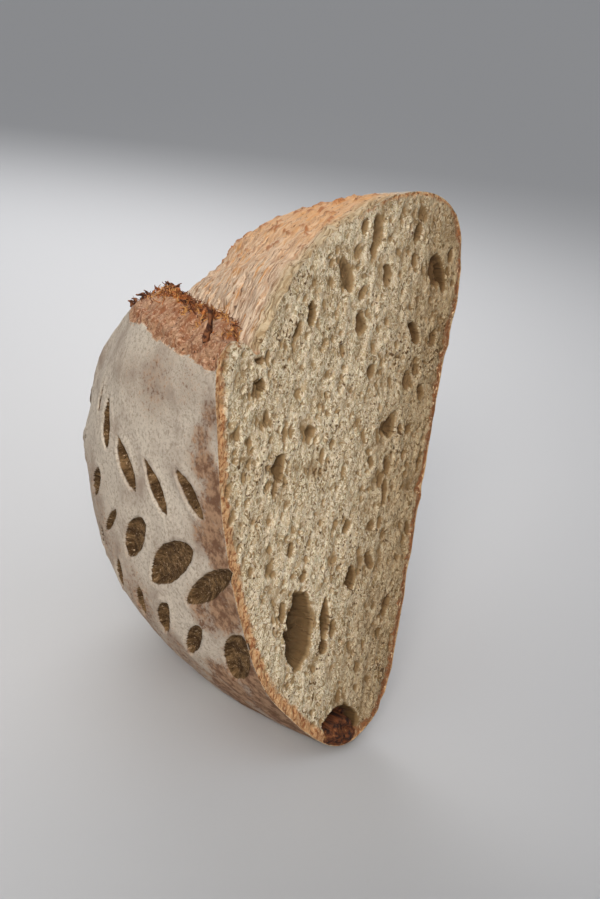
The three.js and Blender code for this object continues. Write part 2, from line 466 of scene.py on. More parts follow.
slot = 1 - smooth(np.abs(from_bubble - BUBBLE_RADIUS - SLOT_WIDTH / 2) / SLOT_WIDTH, 0.4, 1.0)
swell = np.sqrt(np.clip(1 - (from_bubble / BUBBLE_RADIUS) ** 2, 0, 1))
hollow = np.maximum(hollow, SLOT_DEPTH * slot * over_bubble)
hollow -= (1.4 + 2.0 * crumble) * swell * smooth(crumb_rim, 0, 1.5)
char = 1 - smooth(from_bubble + swirl, BUBBLE_RADIUS + 0.4, BUBBLE_RADIUS + 2.6)
print("hollows:", len(HOLLOWS), "deepest", round(float(hollow.max()), 1), "mm")

# %% Crust seen on the cut face
# The knife shows the crust edge on: thick on the dome, thin under the loaf, and none
# where the burst tore open late and stayed soft. Columns: place round the outline, width
# of the band in mm, darkness.
CRUST_BAND = np.array([
    (0, 2.2, 0.9), (6, 2.6, 0.9), (7, 3.4, 0.6), (10, 4.0, 0.25), (16, 3.8, 0.2), (18, 3.2, 0.4),
    (20, 1.6, 0.5), (21.5, -2, 0.3), (25.5, -2, 0.0), (27, 1.4, 0.0), (28.5, 2.0, 0.1),
    (29.5, 1.8, 0.5), (31, 2.2, 0.9),
])
band_width = np.interp(crumb_s, CRUST_BAND[:, 0], CRUST_BAND[:, 1])
band_dark = np.interp(crumb_s, CRUST_BAND[:, 0], CRUST_BAND[:, 2])
print("crust band, mm: up to", CRUST_BAND[:, 1].max())

# %% [markdown]
# ## One closed body
# Skin, end and cut face become one mesh. It is turned the way the half rests, moved so
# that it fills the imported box, and pressed flat where it stands.

# %% Turning it to its resting place
def turned(points):
    """Loaf axes to the row's axes, both in mm, before the half is set down."""
    lean, tilt = BASE_LEAN - math.pi / 2, -BACK_TILT
    x = points[..., 0] * math.cos(lean) + points[..., 2] * math.sin(lean)
    z = -points[..., 0] * math.sin(lean) + points[..., 2] * math.cos(lean)
    y = points[..., 1]
    back = y * math.cos(tilt) - z * math.sin(tilt)
    up = y * math.sin(tilt) + z * math.cos(tilt)
    return np.stack([x, back, up], -1)


plain = turned(base_skin).reshape(-1, 3)
box_low, box_high = (np.array(corner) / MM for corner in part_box("half_loaf"))
set_down = (box_low + box_high - plain.min(axis=0) - plain.max(axis=0)) / 2
set_down[2] = box_high[2] - plain.max(axis=0)[2]


def placed(points):
    """Loaf axes in mm to metres in the row's frame, pressed flat on the table."""
    spots = turned(points) + set_down
    spots[..., 2] = np.maximum(spots[..., 2], 0)
    return spots * MM


face_normal = turned(np.array([0.0, -1.0, 0.0]))
print("set down by", np.round(set_down, 2), "mm")

# %% The mesh
pole = np.array([[AXIS[0], HALF_LENGTH, AXIS[1]]])
loaf_points = np.vstack([skin_points.reshape(-1, 3), pole, crumb_points])
pole_index = rows * columns
grid = np.arange(rows * columns).reshape(rows, columns)
beside = np.roll(grid, -1, axis=1)
quads = np.stack([grid[:-1], beside[:-1], beside[1:], grid[1:]], -1).reshape(-1, 4)
end_fan = np.stack([grid[-1], beside[-1], np.full(columns, pole_index)], -1)
cut_faces = np.where(cut_triangles < columns, cut_triangles, cut_triangles - columns + pole_index + 1)
cut_faces = cut_faces[:, ::-1]

loaf_mesh = bpy.data.meshes.new("half_loaf_bread")
faces = [tuple(f) for part in (quads, end_fan, cut_faces) for f in part.tolist()]
loaf_mesh.from_pydata(placed(loaf_points).tolist(), [], faces)
loaf_mesh.validate()
loaf_mesh.shade_smooth()
loaf_mesh.set_sharp_from_angle(angle=math.radians(70))
print("triangles:", sum(len(p.vertices) - 2 for p in loaf_mesh.polygons))

# %% Values on the mesh for the materials
def stored(mesh, name, values, kind="FLOAT"):
    """Stores one value for each point."""
    attribute = mesh.attributes.new(name, kind, "POINT")
    attribute.data.foreach_set("value" if kind == "FLOAT" else "vector", np.ravel(values))


def everywhere(on_skin, on_crumb):
    """Joins values of the skin grid, the end point and the crumb into one list."""
    skin_values = np.broadcast_to(on_skin, (rows, columns)).astype(float)
    return np.concatenate([skin_values.ravel(), [0.0], np.broadcast_to(on_crumb, len(crumb_xz))])


stored(loaf_mesh, "loaf", np.vstack([base_skin.reshape(-1, 3), pole, crumb_points]), "FLOAT_VECTOR")
stored(loaf_mesh, "leaf_edge", everywhere(leaf_edge, NO_LEAF))
stored(loaf_mesh, "bare", everywhere(bare, 0))
stored(loaf_mesh, "bench", everywhere(bench, 0))
stored(loaf_mesh, "underside", everywhere(base_side, 0))
stored(loaf_mesh, "near_cut", everywhere(soft_edge, 0))
stored(loaf_mesh, "flour_edge", everywhere(np.maximum(flour_edge, healed), 0))
stored(loaf_mesh, "blisters", everywhere(blisters, 0))
stored(loaf_mesh, "char", everywhere(0, char))
stored(loaf_mesh, "hollow", everywhere(0, hollow))
stored(loaf_mesh, "rim", everywhere(0, crumb_rim))
stored(loaf_mesh, "band_width", everywhere(0, band_width))
stored(loaf_mesh, "band_dark", everywhere(0, band_dark))
stored(loaf_mesh, "crumb", everywhere(0, 1))
print("stored:", ", ".join(a.name for a in loaf_mesh.attributes if not a.name.startswith(".")))

# %% [markdown]
# ## Materials
# Bread is matt and slightly translucent. The colour of a crust comes from how hot and how
# dry each spot became, and from the flour left on it, so each material mixes browns by
# where the spot is. Some colour is painted light and shade: shade in the crumb's bubbles and
# towards its base, shade and highlight on its fine bump, and light on the burst's top. The
# patterns read the loaf's own axes in millimetres, so grain and strands run the way the
# dough stretched.

# %% Node helpers
MATH, VECTOR_MATH = "ShaderNodeMath", "ShaderNodeVectorMath"


def add(tree, kind, inputs=(), **settings):
    """Adds a node: settings are its properties, inputs a list of its sockets' values or
    links, or a dictionary of them by name or number. In a material, a name given as a
    value stands for the value stored on the mesh under that name."""
    node = tree.nodes.new(kind)
    for name, value in settings.items():
        setattr(node, name, value)
    for socket, value in inputs.items() if isinstance(inputs, dict) else enumerate(inputs):
        if isinstance(value, str) and tree.type == "SHADER":
            value = add(tree, "ShaderNodeAttribute", attribute_name=value).outputs["Fac"]
        elif isinstance(value, bpy.types.Node):
            value = value.outputs[0]
        if isinstance(value, bpy.types.NodeSocket):
            tree.links.new(value, node.inputs[socket])
        else:
            node.inputs[socket].default_value = value
    return node


def linear(hex_colour):
    """An sRGB hex colour as linear RGBA."""
    parts = [int(hex_colour[k:k + 2], 16) / 255 for k in (1, 3, 5)]
    return [c / 12.92 if c <= 0.04045 else ((c + 0.055) / 1.055) ** 2.4 for c in parts] + [1.0]


def lay_over(tree, under, colour, mask, low, high):
    """Lays a colour over another where the mask rises from low to high."""
    amount = add(tree, "ShaderNodeMapRange", [mask, low, high], interpolation_type="SMOOTHSTEP")
    mixed = add(tree, "ShaderNodeMix", {0: amount, 6: under, 7: colour}, data_type="RGBA")
    return mixed.outputs[2]


def weighed(tree, *patterns):
    """Adds up patterns, each given with its weight."""
    total = 0.0
    for pattern, weight in patterns:
        total = add(tree, MATH, [pattern, weight, total], operation="MULTIPLY_ADD")
    return total


def new_material(name):
    """An empty material and the loaf's own axes, in mm."""
    material = bpy.data.materials.new(name)
    material.use_nodes = True
    tree = material.node_tree
    tree.nodes.clear()
    axes = add(tree, "ShaderNodeAttribute", attribute_name="loaf")
    return material, tree, axes.outputs["Vector"]


def grain(tree, axes, sizes, detail=3.0, roughness=0.6, curl=0.0):
    """Noise with grains of the given sizes in mm across, along and up the loaf."""
    per_mm = [1 / size for size in sizes]
    scaled = add(tree, VECTOR_MATH, [axes, per_mm], operation="MULTIPLY")
    return add(tree, "ShaderNodeTexNoise", {
        "Vector": scaled, "Scale": 1.0, "Detail": detail, "Roughness": roughness, "Distortion": curl,
    })


def finish(tree, colour, height, depth_mm, **sockets):
    """The shader, its bump and the output."""
    bump = add(tree, "ShaderNodeBump", {"Height": height, "Distance": depth_mm * MM, "Strength": 1.0})
    inputs = {"Base Color": colour, "Normal": bump}
    inputs.update({name.replace("_", " "): value for name, value in sockets.items()})
    shader = add(tree, "ShaderNodeBsdfPrincipled", inputs)
    add(tree, "ShaderNodeOutputMaterial", {0: shader})


# %% Crumb
def crumb_material():
    # Wheat and rye crumb, torn by a knife: greyish beige gel walls with darker glassy patches
    # and brown flecks of bran. Painted shade darkens the bubbles by their depth, and the crumb
    # towards its base, which is also a little denser there. The fine bump has painted shade in
    # its hollows and a painted highlight on its crests.
    material, tree, axes = new_material("wheat and rye crumb, cut")
    tone = grain(tree, axes, (14, 9, 9), 3.0)
    colour = lay_over(tree, linear("#c8b393"), linear("#ae9774"), tone, 0.4, 0.62)
    glassy = grain(tree, axes, (6, 2.5, 2.5), 3.0)
    colour = lay_over(tree, colour, linear("#95825f"), glassy, 0.5, 0.72)
    fine = grain(tree, axes, (1.5, 1.0, 1.0), 2.0, 0.6, 1.0)
    off_highlit_crest = add(tree, MATH, [weighed(tree, (fine, 1.0), (1.0, -0.5))], operation="ABSOLUTE")
    # Painted shade and highlight on the fine bump: darker in its hollows, pale on its crests.
    colour = lay_over(tree, colour, linear("#937b58"), fine, 0.45, 0.34)
    colour = lay_over(tree, colour, linear("#e6d9c0"), off_highlit_crest, 0.07, 0.01)
    # Painted shade: the deeper a bubble pushes in, the darker the crumb is painted.
    pore_shade = weighed(tree, ("pore", 1.0), (fine, 0.6))
    colour = lay_over(tree, colour, linear("#967b56"), pore_shade, 0.42, 1.1)
    colour = lay_over(tree, colour, linear("#6d5435"), pore_shade, 1.1, 2.3)
    colour = lay_over(tree, colour, linear("#5a4429"), pore_shade, 3.2, 6.0)
    open_patches = grain(tree, axes, (14, 12, 12), 2.0)
    bran = grain(tree, axes, (1.4, 1.0, 1.0), 1.0)
    flecks = weighed(tree, (bran, 1.0), (open_patches, 0.6))
    colour = lay_over(tree, colour, linear("#664c2f"), flecks, 0.95, 1.04)
    # Painted shade, darker in patches towards the base as if the loaf's other half shaded it; the
    # crumb by the base crust is also a little denser.
    up = add(tree, "ShaderNodeSeparateXYZ", [axes]).outputs[2]
    shaded_crumb = add(tree, "ShaderNodeMix", {0: 1.0, 6: colour, 7: linear("#cfc4b4")},
                 data_type="RGBA", blend_type="MULTIPLY").outputs[2]
    base_shade = weighed(tree, (up, 1.0), (open_patches, 25.0))
    colour = lay_over(tree, colour, shaded_crumb, base_shade, 52, 14)
    wavy = grain(tree, axes, (2.5, 2.5, 2.5), 4.0)
    from_rim = weighed(tree, ("rim", 1.0), (wavy, 5.0))
    width = weighed(tree, ("band_width", 1.0), (1.0, 2.1))
    into_band = add(tree, MATH, [width, from_rim], operation="SUBTRACT")
    toasted = lay_over(tree, linear("#c4976a"), linear("#6b4023"), "band_dark", 0.2, 1.0)
    toasted = lay_over(tree, toasted, linear("#96603a"), fine, 0.52, 0.38)
    toasted = lay_over(tree, toasted, linear("#d6b48c"), fine, 0.56, 0.68)
    colour = lay_over(tree, colour, toasted, into_band, -0.5, 1.0)
    charring = grain(tree, axes, (1.9, 1.9, 1.9), 4.0, 0.7)
    scorch = lay_over(tree, linear("#21100a"), linear("#6b3b1e"), charring, 0.4, 0.58)
    scorch = lay_over(tree, scorch, linear("#ab7c4e"), charring, 0.58, 0.7)
    colour = lay_over(tree, colour, scorch, "char", 0.3, 0.7)
    height = weighed(tree, (fine, 1.0), (off_highlit_crest, -2.5))
    finish(tree, colour, height, 0.4, Roughness=0.75, Specular_IOR_Level=0.3, Subsurface_Weight=0.1,
           Subsurface_Radius=(0.004, 0.002, 0.001), Subsurface_Scale=0.4)
    return material


crumb_look = crumb_material()
print(f"{crumb_look.name}: {len(crumb_look.node_tree.nodes)} nodes")

# %% Floured crust
def crust_material():
    # Hearth crust dusted with rice flour: the flour hides a purplish brown crust and is
    # thin beside the cut; the leaves show their bare, rough brown floors.
    material, tree, axes = new_material("hearth crust under rice flour")
    crust = grain(tree, axes, (3, 3, 3), 5.0, 0.65)
    brown = lay_over(tree, linear("#735440"), linear("#a8866a"), crust, 0.4, 0.62)
    dust = grain(tree, axes, (1.2, 1.2, 1.2), 4.0, 0.75)
    flour = lay_over(tree, linear("#a99a89"), linear("#d4c8b8"), dust, 0.34, 0.6)
    blotch = grain(tree, axes, (16, 16, 16), 5.0, 0.6)
    flour = lay_over(tree, flour, linear("#9c8a7b"), blotch, 0.44, 0.76)
    worn = weighed(tree, ("bare", 1.0), (dust, 1.8))
    colour = lay_over(tree, flour, brown, worn, 0.98, 1.55)
    underside = lay_over(tree, linear("#7d5536"), linear("#9f7850"), crust, 0.34, 0.68)
    underside = lay_over(tree, underside, linear("#5c3a22"), blotch, 0.5, 0.74)
    underside = lay_over(tree, underside, linear("#c7aa85"), dust, 0.56, 0.74)
    colour = lay_over(tree, colour, underside, "underside", 0.3, 0.9)
    ground = grain(tree, axes, (0.7, 0.7, 0.7), 4.0, 0.8)
    floor = lay_over(tree, linear("#48341f"), linear("#7a5f40"), crust, 0.4, 0.64)
    floor = lay_over(tree, floor, linear("#2f2114"), ground, 0.46, 0.36)
    floor = lay_over(tree, floor, linear("#bda284"), ground, 0.57, 0.68)
    colour = lay_over(tree, colour, floor, "leaf_edge", 0.2, -0.1)
    height = weighed(tree, (crust, 1.0), (dust, 1.0))
    finish(tree, colour, height, 0.45, Roughness=0.9, Specular_IOR_Level=0.15)
    return material


crust_look = crust_material()
print(f"{crust_look.name}: {len(crust_look.node_tree.nodes)} nodes")

# %% Torn crust
def torn_material():
    # Crust that opened in the oven: never floured, thin and dry. The bench under the ear
    # scorched red-brown, the burst baked to a light tan with orange strands, with painted light
    # making it lighter orange towards its top, and by the cut it is as soft and pale as crumb.
    material, tree, axes = new_material("torn oven-spring crust")
    distance_across = add(tree, "ShaderNodeSeparateXYZ", [axes]).outputs[0]
    strand = grain(tree, axes, (8, 0.9, 8), 4.0, 0.6)
    fine = grain(tree, axes, (5, 0.55, 5), 2.0, 0.6)
    colour = lay_over(tree, linear("#b8977c"), linear("#dfc8ae"), fine, 0.36, 0.6)
    colour = lay_over(tree, colour, linear("#c48a4e"), strand, 0.55, 0.64)
    colour = lay_over(tree, colour, linear("#7f5836"), strand, 0.42, 0.31)
    # Painted light: the burst turns light orange towards its top, far across the loaf, where the lamp
    # behind lights it.
    high = weighed(tree, (distance_across, 1.0), (strand, 60.0))
    colour = lay_over(tree, colour, linear("#d6a16c"), high, 150, 200)
    crumbs = grain(tree, axes, (1.8, 1.2, 1.8), 4.0, 0.7)
    colour = lay_over(tree, colour, linear("#a8683a"), "blisters", 0.1, 1.2)
    colour = lay_over(tree, colour, linear("#8c5d38"), crumbs, 0.58, 0.68)
    soft = lay_over(tree, linear("#a98e69"), linear("#cfbb9b"), fine, 0.38, 0.62)
    soft = lay_over(tree, soft, linear("#74593a"), crumbs, 0.53, 0.66)
    colour = lay_over(tree, colour, soft, "near_cut", 0.1, 0.9)
    spots = grain(tree, axes, (3.2, 2.2, 3.2), 5.0, 0.7)
    scorched = lay_over(tree, linear("#b38a69"), linear("#96603f"), spots, 0.42, 0.6)
    specks = grain(tree, axes, (0.9, 0.9, 0.9), 3.0, 0.7)
    scorched = lay_over(tree, scorched, linear("#cfa688"), specks, 0.5, 0.66)
    scorched = lay_over(tree, scorched, linear("#7d4e34"), specks, 0.44, 0.32)
    scorched = lay_over(tree, scorched, linear("#47250f"), crumbs, 0.6, 0.68)
    colour = lay_over(tree, colour, scorched, "bench", 0.2, 0.8)
    flour = lay_over(tree, linear("#a99a89"), linear("#d4c8b8"), specks, 0.36, 0.62)
    floured = weighed(tree, ("flour_edge", 1.0), (crumbs, 1.0))
    colour = lay_over(tree, colour, flour, floured, 0.85, 1.2)
    height = weighed(tree, (fine, 1.0), (specks, 0.5), (strand, 1.0))
    finish(tree, colour, height, 0.8, Roughness=0.75, Specular_IOR_Level=0.3)
    return material


torn_look = torn_material()
print(f"{torn_look.name}: {len(torn_look.node_tree.nodes)} nodes")

# %% Materials on the faces
FLOURED, TORN, CUT = range(3)
for look in (crust_look, torn_look, crumb_look):
    loaf_mesh.materials.append(look)
quad_looks = np.where(torn[:-1] > 0.02, TORN, FLOURED).ravel()
face_looks = np.concatenate([quad_looks, np.full(columns, FLOURED), np.full(len(cut_faces), CUT)])
loaf_mesh.polygons.foreach_set("material_index", face_looks.astype("int32"))
loaf = bpy.data.objects.new("half_loaf_bread", loaf_mesh)
bpy.context.scene.collection.objects.link(loaf)
print("materials:", [m.name for m in loaf_mesh.materials])

# %% [markdown]
# ## Bubbles in the crumb
# A cut through foam shows slices of round bubbles. A Voronoi texture is that foam: each
# cell is a bubble round its seed point, and the plane of the cut slices it at random
# heights. Three sizes of foam, drawn out across the loaf, are joined by taking the
# deepest. A little noise on top is the crumb that the knife tore.

# %% Bubble tree
# For each size: its input, stretch across the loaf, bubble radius in cells, depth against
# size, share of cells left solid, roundness of the floor.
BUBBLE_SIZES = (
    ("Fine bubble mm", 1.6, 0.5, 0.5, 0.4, 1.1),
    ("Middle bubble mm", 1.9, 0.42, 0.7, 0.35, 1.2),
    ("Coarse bubble mm", 2.0, 0.32, 0.6, 0.42, 1.1),
)


def new_tree(name, sockets):
    """A geometry tree with its inputs and one geometry output, and its inputs' sockets."""
    tree = bpy.data.node_groups.new(name, "GeometryNodeTree")
    for socket, kind in sockets.items():
        tree.interface.new_socket(socket, in_out="INPUT", socket_type="NodeSocket" + kind)
    tree.interface.new_socket("Geometry", in_out="OUTPUT", socket_type="NodeSocketGeometry")
    return tree, add(tree, "NodeGroupInput").outputs


STORED = "GeometryNodeInputNamedAttribute"
# How the foam is bent, so that its bubbles lie in no rows: size of the bends, and how far.
BENDS_MM = ((12.0, 6.0), (2.2, 1.5))


def foam_pockets(tree, bent, given, number):
    """How deep the bubbles of one size push the face in, in mm."""
    name, stretch, radius, depth, missing, roundness = BUBBLE_SIZES[number]
    moved = add(tree, VECTOR_MATH, [bent, (37.0 * number, 0.0, 0.0)], operation="ADD")
    squeezed = add(tree, VECTOR_MATH, [moved, (1 / stretch, 1.0, 1.0)], operation="MULTIPLY")
    per_bubble = add(tree, MATH, [1.0, given[name]], operation="DIVIDE")
    cells = add(tree, VECTOR_MATH, {0: squeezed, "Scale": per_bubble}, operation="SCALE")
    foam = add(tree, "ShaderNodeTexVoronoi", {"Vector": cells, "W": given["Seed"], "Scale": 1.0},
               voronoi_dimensions="4D")
    chance = add(tree, "FunctionNodeSeparateColor", [foam.outputs["Color"]])
    here = add(tree, MATH, [chance, missing], operation="GREATER_THAN")
    reach = add(tree, MATH, [foam.outputs["Distance"], radius], operation="DIVIDE")
    squared = add(tree, MATH, [reach, reach], operation="MULTIPLY")
    bowl = add(tree, MATH, [1.0, squared], operation="SUBTRACT", use_clamp=True)
    bowl = add(tree, MATH, [bowl, roundness], operation="POWER")
    for factor in (here, given[name], depth):
        bowl = add(tree, MATH, [bowl, factor], operation="MULTIPLY")
    return bowl


def torn_crumb(tree, axes, given):
    """The unevenness that the knife left: fine crumbs, and furrows along the rise."""
    fine = add(tree, "ShaderNodeTexNoise", {
        "Vector": axes, "Scale": 0.75, "Detail": 3.0, "Roughness": 0.7,
    })
    fine = add(tree, MATH, [fine, 0.5], operation="SUBTRACT")
    fine = add(tree, MATH, [fine, given["Torn crumb mm"]], operation="MULTIPLY")
    rising = add(tree, VECTOR_MATH, [axes, (0.4, 1.0, 1.0)], operation="MULTIPLY")
    furrow = add(tree, "ShaderNodeTexNoise", {"Vector": rising, "Scale": 0.26, "Detail": 2.0})
    furrow = add(tree, MATH, [furrow, 0.45], operation="SUBTRACT")
    furrow = add(tree, MATH, [furrow, given["Furrow mm"]], operation="MULTIPLY")
    return add(tree, MATH, [fine, furrow], operation="ADD")


def bubble_tree():
    """Pushes the crumb in by bubbles of three sizes."""
    tree, given = new_tree("crumb bubbles", {
        "Geometry": "Geometry", "Fine bubble mm": "Float", "Middle bubble mm": "Float",
        "Coarse bubble mm": "Float", "Torn crumb mm": "Float", "Furrow mm": "Float",
        "Face normal": "Vector", "Seed": "Float", "Look": "Material",
    })
    axes = add(tree, STORED, {"Name": "loaf"}, data_type="FLOAT_VECTOR")
    bent = axes
    for size, amount in BENDS_MM:
        bend = add(tree, "ShaderNodeTexNoise", {"Vector": axes, "Scale": 1 / size, "Detail": 1.0})
        bend = add(tree, VECTOR_MATH, [bend.outputs["Color"], (amount, 0.0, amount)],
                   operation="MULTIPLY")
        bent = add(tree, VECTOR_MATH, [bent, bend], operation="ADD")
    hollow = add(tree, STORED, {"Name": "hollow"}, data_type="FLOAT")
    deepest = add(tree, MATH, [hollow, foam_pockets(tree, bent, given, 0)], operation="ADD")
    for number in (1, 2):
        pockets = foam_pockets(tree, bent, given, number)
        deepest = add(tree, MATH, [deepest, pockets], operation="MAXIMUM")
    # Bubbles stop short of the crust, and the tear dies out at the rim.
    from_rim = add(tree, STORED, {"Name": "rim"}, data_type="FLOAT")
    inside = add(tree, "ShaderNodeMapRange", [from_rim, 1.0, 3.2])
    at_rim = add(tree, "ShaderNodeMapRange", [from_rim, 0.0, 0.8])
    pore = add(tree, MATH, [deepest, inside], operation="MULTIPLY")
    rough = add(tree, MATH, [torn_crumb(tree, axes, given), at_rim], operation="MULTIPLY")
    pore = add(tree, MATH, [pore, rough], operation="ADD")
    char = add(tree, STORED, {"Name": "char"}, data_type="FLOAT")
    charred = add(tree, MATH, [char, 0.5], operation="GREATER_THAN")
    pore = add(tree, "GeometryNodeSwitch", [charred, pore, hollow], input_type="FLOAT")
    kept = add(tree, "GeometryNodeStoreNamedAttribute", {
        "Geometry": given["Geometry"], "Name": "pore", "Value": pore,
    }, data_type="FLOAT", domain="POINT")
    inward = add(tree, MATH, [pore, -MM], operation="MULTIPLY")
    push = add(tree, VECTOR_MATH, {0: given["Face normal"], "Scale": inward}, operation="SCALE")
    pushed = add(tree, "GeometryNodeSetPosition", {"Geometry": kept, "Offset": push})
    crumb = add(tree, STORED, {"Name": "crumb"}, data_type="FLOAT")
    on_face = add(tree, MATH, [crumb, 0.1], operation="GREATER_THAN")
    real = add(tree, "GeometryNodeRealizeInstances", [pushed])
    looked = add(tree, "GeometryNodeSetMaterial", {
        "Geometry": real, "Selection": on_face, "Material": given["Look"],
    })
    add(tree, "NodeGroupOutput", [looked])
    return tree


# %% Growing bubbles on the bread
def grown(obj, tree, values):
    """Runs a geometry tree on an object and keeps the result as a plain mesh."""
    modifier = obj.modifiers.new(tree.name, "NODES")
    modifier.node_group = tree
    for item in tree.interface.items_tree:
        if item.in_out == "INPUT" and item.name in values:
            modifier[item.identifier] = values[item.name]
    bpy.context.view_layer.update()
    evaluated = obj.evaluated_get(bpy.context.evaluated_depsgraph_get())
    mesh = bpy.data.meshes.new_from_object(evaluated)
    obj.modifiers.remove(modifier)
    obj.data = mesh
    return mesh


bread_mesh = grown(loaf, bubble_tree(), {
    "Fine bubble mm": 2.0, "Middle bubble mm": 3.8, "Coarse bubble mm": 7.5,
    "Torn crumb mm": 1.0, "Furrow mm": 2.3,
    "Face normal": tuple(face_normal), "Seed": 3.0, "Look": crumb_look,
})
print("bread:", len(bread_mesh.vertices), "points")

# %% [markdown]
# ## Torn shreds
# Where the ear lifted, the skin of the dough tore into threads that dried, curled and
# scorched. They are short, bent and tapered, so one curled blade is scattered by Geometry
# Nodes over the back of the bench, thickest by the notch.

# %% Where shreds grow
def bench_carrier():
    """A copy of the bench's skin that tells how thickly shreds stand on it."""
    thick = bench * smooth(girth, 6, NOTCH_GIRTH - 3)
    thick = thick * smooth(along, 5, 13) * (1 - smooth(along, 60, 68))
    thick = thick * smooth(field(surface_point, 6.0, 2, 70.0), -0.5, 0.3)
    keep = (thick[:-1] > 0.02).ravel()
    mesh = bpy.data.meshes.new("bench_carrier")
    points = placed(skin_points.reshape(-1, 3)).tolist()
    mesh.from_pydata(points, [], [tuple(quad) for quad in quads[keep].tolist()])
    stored(mesh, "thick", thick.ravel())
    return mesh


# %% Shred tree
# Each blade: how far it curls over, and how far it sways, against its length.
BLADE_BENDS = ((0.45, 0.1), (-0.5, 0.25), (0.15, -0.35), (0.8, -0.15))
BLADE_POINTS = 7


def blade(tree, curl, sway, thickness):
    """One curled, tapered thread, 1 long, standing up."""
    line = add(tree, "GeometryNodeCurvePrimitiveLine", {"End": (0.0, 0.0, 1.0)})
    line = add(tree, "GeometryNodeResampleCurve", {"Curve": line, "Count": BLADE_POINTS})
    part = add(tree, "GeometryNodeSplineParameter")
    square = add(tree, MATH, [part, part], operation="MULTIPLY")
    turns = add(tree, MATH, [part, 5.0], operation="MULTIPLY")
    wave = add(tree, MATH, [turns], operation="SINE")
    offset = add(tree, "ShaderNodeCombineXYZ", [
        add(tree, MATH, [square, curl], operation="MULTIPLY"),
        add(tree, MATH, [wave, sway], operation="MULTIPLY"),
        add(tree, MATH, [square, -0.4 * abs(curl)], operation="MULTIPLY"),
    ])
    bent = add(tree, "GeometryNodeSetPosition", {"Geometry": line, "Offset": offset})
    marked = add(tree, "GeometryNodeStoreNamedAttribute", {
        "Geometry": bent, "Name": "tip", "Value": part,
    }, data_type="FLOAT", domain="POINT")
    loss = add(tree, MATH, [square, 0.8], operation="MULTIPLY")
    taper = add(tree, MATH, [1.0, loss], operation="SUBTRACT")
    profile = add(tree, "GeometryNodeCurvePrimitiveCircle", {"Resolution": 5, "Radius": thickness})
    return add(tree, "GeometryNodeCurveToMesh", {
        "Curve": marked, "Profile Curve": profile, "Scale": taper, "Fill Caps": True,
    })


def shred_tree():
    """Curled, tapered threads standing on a surface."""
    tree, given = new_tree("torn shreds", {
        "Geometry": "Geometry", "Shreds per square cm": "Float", "Shortest mm": "Float",
        "Longest mm": "Float", "Slenderness": "Float", "Up": "Vector", "Lean": "Float",
        "Seed": "Int", "Look": "Material",
    })
    per_square_metre = add(tree, MATH, [given["Shreds per square cm"], 1e4], operation="MULTIPLY")
    thick = add(tree, STORED, {"Name": "thick"}, data_type="FLOAT")
    density = add(tree, MATH, [thick, per_square_metre], operation="MULTIPLY")
    spots = add(tree, "GeometryNodeDistributePointsOnFaces", {
        "Mesh": given["Geometry"], "Density": density, "Seed": given["Seed"],
    })
    blades = add(tree, "GeometryNodeJoinGeometry")
    for curl, sway in BLADE_BENDS:
        thread = blade(tree, curl, sway, given["Slenderness"])
        one = add(tree, "GeometryNodeGeometryToInstance", [thread])
        tree.links.new(one.outputs[0], blades.inputs[0])
    # A random number for the shred's lean, turn, length and tone, each with its own seed.
    random = "FunctionNodeRandomValue"
    lean = add(tree, random, {0: (-1.0, -1.0, -1.0), 1: (1.0, 1.0, 1.0), 8: 5},
               data_type="FLOAT_VECTOR")
    lean = add(tree, VECTOR_MATH, {0: lean, "Scale": given["Lean"]}, operation="SCALE")
    way = add(tree, VECTOR_MATH, [given["Up"], lean], operation="ADD")
    upright = add(tree, "FunctionNodeAlignRotationToVector", {"Vector": way})
    angle = add(tree, random, {2: 0.0, 3: 6.28, 8: 7}, data_type="FLOAT").outputs[1]
    spin = add(tree, "FunctionNodeEulerToRotation", [add(tree, "ShaderNodeCombineXYZ", {2: angle})])
    turn = add(tree, "FunctionNodeRotateRotation", [upright, spin], rotation_space="LOCAL")
    length = add(tree, random, {2: given["Shortest mm"], 3: given["Longest mm"], 8: 9},
                 data_type="FLOAT").outputs[1]
    length = add(tree, MATH, [length, MM], operation="MULTIPLY")
    standing = add(tree, "GeometryNodeInstanceOnPoints", {
        "Points": spots, "Instance": blades, "Pick Instance": True, "Rotation": turn,
        "Scale": length,
    })
    tone = add(tree, random, {2: 0.0, 3: 1.0, 8: 11}, data_type="FLOAT").outputs[1]
    toned = add(tree, "GeometryNodeStoreNamedAttribute", {
        "Geometry": standing, "Name": "tone", "Value": tone,
    }, data_type="FLOAT", domain="INSTANCE")
    real = add(tree, "GeometryNodeRealizeInstances", [toned])
    looked = add(tree, "GeometryNodeSetMaterial", {"Geometry": real, "Material": given["Look"]})
    add(tree, "NodeGroupOutput", [looked])
    return tree


# %% Shred finish
def shred_material():
    # Dry torn gluten threads: golden at the root, scorched at the tip, a few charred.
    material, tree, _ = new_material("torn gluten threads, toasted")
    place = add(tree, "ShaderNodeTexCoord").outputs["Object"]
    # Scorched spots about 1.1 mm across.
    spots = add(tree, "ShaderNodeTexNoise", {"Vector": place, "Scale": 0.9 / MM, "Detail": 3.0})
    colour = lay_over(tree, linear("#cf9a5c"), linear("#b8703a"), "tone", 0.3, 0.6)
    colour = lay_over(tree, colour, linear("#5a2d17"), "tone", 0.72, 0.9)
    burnt = weighed(tree, ("tip", 1.0), (spots, 0.8))
    colour = lay_over(tree, colour, linear("#6a3519"), burnt, 0.75, 1.35)
    finish(tree, colour, spots, 0.2, Roughness=0.7, Specular_IOR_Level=0.3)
    return material


